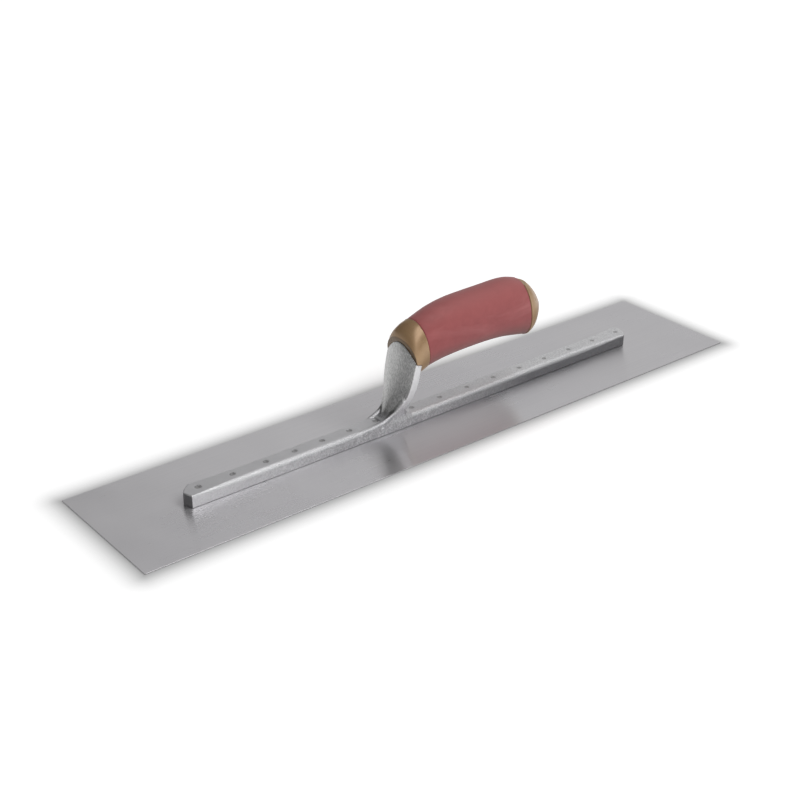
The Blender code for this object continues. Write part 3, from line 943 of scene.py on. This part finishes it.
def tan_material():
    m = Nodes("tan_satin_plastic")
    flake = m.noise(m.scaled((1, 1, 1)), 1500.0, 2.0, 0.5)
    cloud = m.noise(m.scaled((1, 1, 1)), 70.0, 3.0, 0.55)
    wear = m.noise(m.scaled((1, 1, 1)), 260.0, 5.0, 0.7, 0.5)
    colour = m.mix(m.ramp(cloud, 0.35, 0.7, 0.0, 1.0),
                   (0.345, 0.215, 0.115), (0.385, 0.248, 0.132))
    colour = m.mix(m.ramp(flake, 0.62, 0.78, 0.0, 0.35), colour,
                   (0.60, 0.47, 0.31))
    colour = m.mix(m.ramp(wear, 0.63, 0.72, 0.0, 0.65), colour,
                   (0.22, 0.135, 0.070))
    # painted shade: darker where the front edge closes on the shank
    split = m.add("ShaderNodeSeparateXYZ")
    m.link(m.coord, split.inputs[0])
    edge = m.math('ADD', split.outputs["X"], m.math(
        'MULTIPLY', m.math('SUBTRACT', split.outputs["Z"], 0.0626), 0.185))
    colour = m.mix(m.ramp(edge, -0.02602, -0.0256, 0.85, 0.0), colour,
                   (0.12, 0.078, 0.042))
    m.set("Base Color", colour)
    m.set("Metallic", 0.22)
    m.set("Roughness", m.math('ADD', m.ramp(cloud, 0.3, 0.7, 0.27, 0.33),
                              m.ramp(flake, 0.5, 0.8, 0.0, 0.05)))
    m.bump([(wear, 0.10, 0.00012), (flake, 0.10, 0.00004)])
    return m.mat


def red_material():
    m = Nodes("red_soft_grip")
    grain = m.noise(m.scaled((1, 1, 1)), 2600.0, 3.0, 0.6)
    mottle = m.noise(m.scaled((1.0, 1.0, 1.0)), 160.0, 5.0, 0.6, 0.6)
    streak = m.noise(m.scaled((0.5, 1.0, 1.6), (0, math.radians(28), 0)),
                     46.0, 3.0, 0.55, 0.5)
    colour = m.mix(m.ramp(mottle, 0.35, 0.7, 0.0, 1.0),
                   (0.270, 0.054, 0.056), (0.312, 0.070, 0.072))
    colour = m.mix(m.ramp(streak, 0.50, 0.72, 0.0, 0.60), colour,
                   (0.40, 0.125, 0.125))
    # the underside is darker as painted shade and a painted grey reflection of
    # the floor, and the top is paler as a painted highlight
    split = m.add("ShaderNodeSeparateXYZ")
    m.link(m.coord, split.inputs[0])
    colour = m.mix(m.ramp(split.outputs["Z"], 0.056, 0.040, 0.0, 0.8), colour,
                   (0.165, 0.078, 0.066))
    colour = m.mix(m.ramp(split.outputs["Z"], 0.066, 0.084, 0.0, 0.5), colour,
                   (0.44, 0.140, 0.135))
    speck = m.noise(m.scaled((1, 1, 1)), 420.0, 2.0, 0.5)
    colour = m.mix(m.ramp(speck, 0.76, 0.80, 0.0, 0.8), colour,
                   (0.11, 0.035, 0.035))
    m.set("Base Color", colour)
    m.set("Roughness", m.ramp(mottle, 0.3, 0.7, 0.56, 0.68))
    m.set("Specular IOR Level", 0.4)
    m.set("Sheen Weight", 0.22)
    m.set("Sheen Roughness", 0.5)
    m.bump([(mottle, 0.08, 0.0002), (grain, 0.25, 0.00005)])
    return m.mat


def zinc_material():
    m = Nodes("zinc_bright_steel")
    mottle = m.noise(m.scaled((1, 1, 1)), 1200.0, 3.0, 0.6)
    colour = m.mix(m.ramp(mottle, 0.3, 0.7, 0.0, 1.0),
                   (0.50, 0.50, 0.51), (0.66, 0.66, 0.67))
    m.set("Base Color", colour)
    m.set("Metallic", 1.0)
    m.set("Roughness", m.ramp(mottle, 0.3, 0.7, 0.24, 0.36))
    m.bump([(mottle, 0.15, 0.00005)])
    return m.mat


# ------------------------------------------------------------------ pieces
blade = piece("trowel_blade", blade_mesh("trowel_blade"), ["blade"],
              blade_material(), 8)
casting = piece("mounting_casting", casting_mesh("mounting_casting"),
                ["mounting"], casting_material(), 50)
rivet_mat = rivet_material()
for number, x in enumerate(RIVETS, start=1):
    label = "rivet_%02d" % number
    mesh = rivet_mesh("pin_%02d" % number, number, PIN_RADII[number - 1])
    mesh.transform(Matrix.Translation((x * MM, 0, 0)))
    piece("pin_%02d" % number, mesh, [label], rivet_mat, 40)
core = piece("handle_shell", core_mesh("handle_shell"), ["handle_core"],
             tan_material(), 35)
grip = piece("soft_grip", grip_mesh("soft_grip"), ["handle_grip"],
             red_material(), 60)
zinc = zinc_material()
piece("tail_disc", washer_mesh("tail_disc"), ["tail_washer"],
      zinc, 35)
piece("tail_bolt", bolt_mesh("tail_bolt"), ["handle_bolt"],
      zinc, 35)


# --------------------------------------------------------------- the studio
FLOOR_GLOW = 0.54


def floor_object():
    bm = bmesh.new()
    bmesh.ops.create_grid(bm, x_segments=2, y_segments=2, size=14.0)
    mesh = bpy.data.meshes.new("floor")
    bm.to_mesh(mesh)
    bm.free()
    obj = bpy.data.objects.new("floor", mesh)
    bpy.context.scene.collection.objects.link(obj)
    obj.location = (0, 0, -0.00005)
    m = Nodes("floor_paper")
    # soft contact shade close round the blade's outline
    split = m.add("ShaderNodeSeparateXYZ")
    m.link(m.coord, split.inputs[0])
    dx = m.math('MAXIMUM', m.math('SUBTRACT', m.math(
        'ABSOLUTE', split.outputs["X"]), 0.254), 0.0)
    dy = m.math('MAXIMUM', m.math('SUBTRACT', m.math(
        'ABSOLUTE', split.outputs["Y"]), 0.0508), 0.0)
    dist = m.math('SQRT', m.math('ADD', m.math('MULTIPLY', dx, dx),
                                 m.math('MULTIPLY', dy, dy)))
    fall = m.math('POWER', m.math('DIVIDE', dist, 0.0105), 1.3)
    shade = m.math('MULTIPLY', m.math('EXPONENT', m.math(
        'MULTIPLY', fall, -1.0)), 0.62)
    m.set("Base Color", m.mix(shade, (0.88, 0.88, 0.88), (0.0, 0.0, 0.0)))
    m.set("Emission Color", m.mix(shade, (1.0, 1.0, 1.0), (0.0, 0.0, 0.0)))
    # the far floor gets less of the lamp, so it glows a little more
    far = m.math('MULTIPLY', m.math('MAXIMUM', m.math(
        'SUBTRACT', dist, 0.4), 0.0), 0.2)
    m.set("Emission Strength", m.math('ADD', m.math(
        'MINIMUM', far, 0.14), FLOOR_GLOW))
    m.set("Roughness", 0.9)
    m.set("Specular IOR Level", 0.0)
    mesh.materials.append(m.mat)
    return obj


def area(name, location, target, size, power, colour=(1, 1, 1)):
    light = bpy.data.lights.new(name, 'AREA')
    light.shape, light.size, light.size_y = 'RECTANGLE', size[0], size[1]
    light.energy, light.color = power, colour
    obj = bpy.data.objects.new(name, light)
    bpy.context.scene.collection.objects.link(obj)
    obj.location = location
    obj.rotation_euler = (Vector(target) - Vector(location)).to_track_quat(
        '-Z', 'Y').to_euler()
    return obj


def world():
    w = bpy.data.worlds.new("studio")
    bpy.context.scene.world = w
    w.use_nodes = True
    tree = w.node_tree
    nodes, links = tree.nodes, tree.links
    background = nodes["Background"]
    coord = nodes.new("ShaderNodeTexCoord").outputs["Generated"]

    def lobe(azimuth, elevation, wide, narrow, value):
        """value inside narrow degrees of a direction, 0 outside wide."""
        a, e = math.radians(azimuth), math.radians(elevation)
        dot = nodes.new("ShaderNodeVectorMath")
        dot.operation = 'DOT_PRODUCT'
        links.new(coord, dot.inputs[0])
        dot.inputs[1].default_value = (math.cos(a) * math.cos(e),
                                       math.sin(a) * math.cos(e),
                                       math.sin(e))
        rng = nodes.new("ShaderNodeMapRange")
        rng.interpolation_type = 'SMOOTHSTEP'
        links.new(dot.outputs["Value"], rng.inputs["Value"])
        rng.inputs["From Min"].default_value = math.cos(math.radians(wide))
        rng.inputs["From Max"].default_value = math.cos(math.radians(narrow))
        rng.inputs["To Min"].default_value = 0.0
        rng.inputs["To Max"].default_value = value
        return rng.outputs["Result"]

    total = None
    for values in WORLD_LOBES:
        out = lobe(*values)
        if total is None:
            total = out
            continue
        add = nodes.new("ShaderNodeMath")
        add.operation = 'ADD'
        links.new(total, add.inputs[0])
        links.new(out, add.inputs[1])
        total = add.outputs[0]
    base = nodes.new("ShaderNodeMath")
    base.operation = 'ADD'
    base.use_clamp = False
    links.new(total, base.inputs[0])
    base.inputs[1].default_value = WORLD_BASE
    top = nodes.new("ShaderNodeMath")
    top.operation = 'MAXIMUM'
    links.new(base.outputs[0], top.inputs[0])
    top.inputs[1].default_value = 0.09
    links.new(top.outputs[0], background.inputs["Color"])
    background.inputs["Strength"].default_value = 1.0


# azimuth and elevation of the middle, outer and inner width, brightness
WORLD_BASE = 0.42
WORLD_LOBES = [(-25, 66, 44, 12, 0.20),
               (-95, 24, 36, 16, 0.45),
               (24, 14, 60, 15, 0.30),
               (150, 30, 92, 25, -0.47),
               (-128, 35, 42, 12, 0.20),
               (-50, 50, 24, 8, 0.60),
               (-32, 15, 38, 22, -0.85)]

floor_object()
world()
area("key_light", (0.26, -0.80, 1.30), (0, 0, 0.03), (1.2, 1.2), 9.0)

scene = bpy.context.scene
scene.view_settings.view_transform = 'Standard'

camera_data = bpy.data.cameras.new("camera")
camera_data.sensor_width = 36.0
camera_data.lens = 63.0
camera_data.clip_start, camera_data.clip_end = 0.01, 100.0
camera = bpy.data.objects.new("camera", camera_data)
scene.collection.objects.link(camera)
a, e, r = (math.radians(v) for v in (-39.4998, 27.4480, 0.74186))
back = Vector((math.sin(a) * math.cos(e), -math.cos(a) * math.cos(e),
               math.sin(e)))
right = (-back).cross(Vector((0, 0, 1))).normalized()
down = (-back).cross(right)
x_axis = right * math.cos(r) - down * math.sin(r)
y_axis = -(right * math.sin(r) + down * math.cos(r))
matrix = Matrix((x_axis, y_axis, back)).transposed().to_4x4()
matrix.translation = (-0.563259, -0.652480, 0.457168 + 0.0008)
camera.matrix_world = matrix
scene.camera = camera
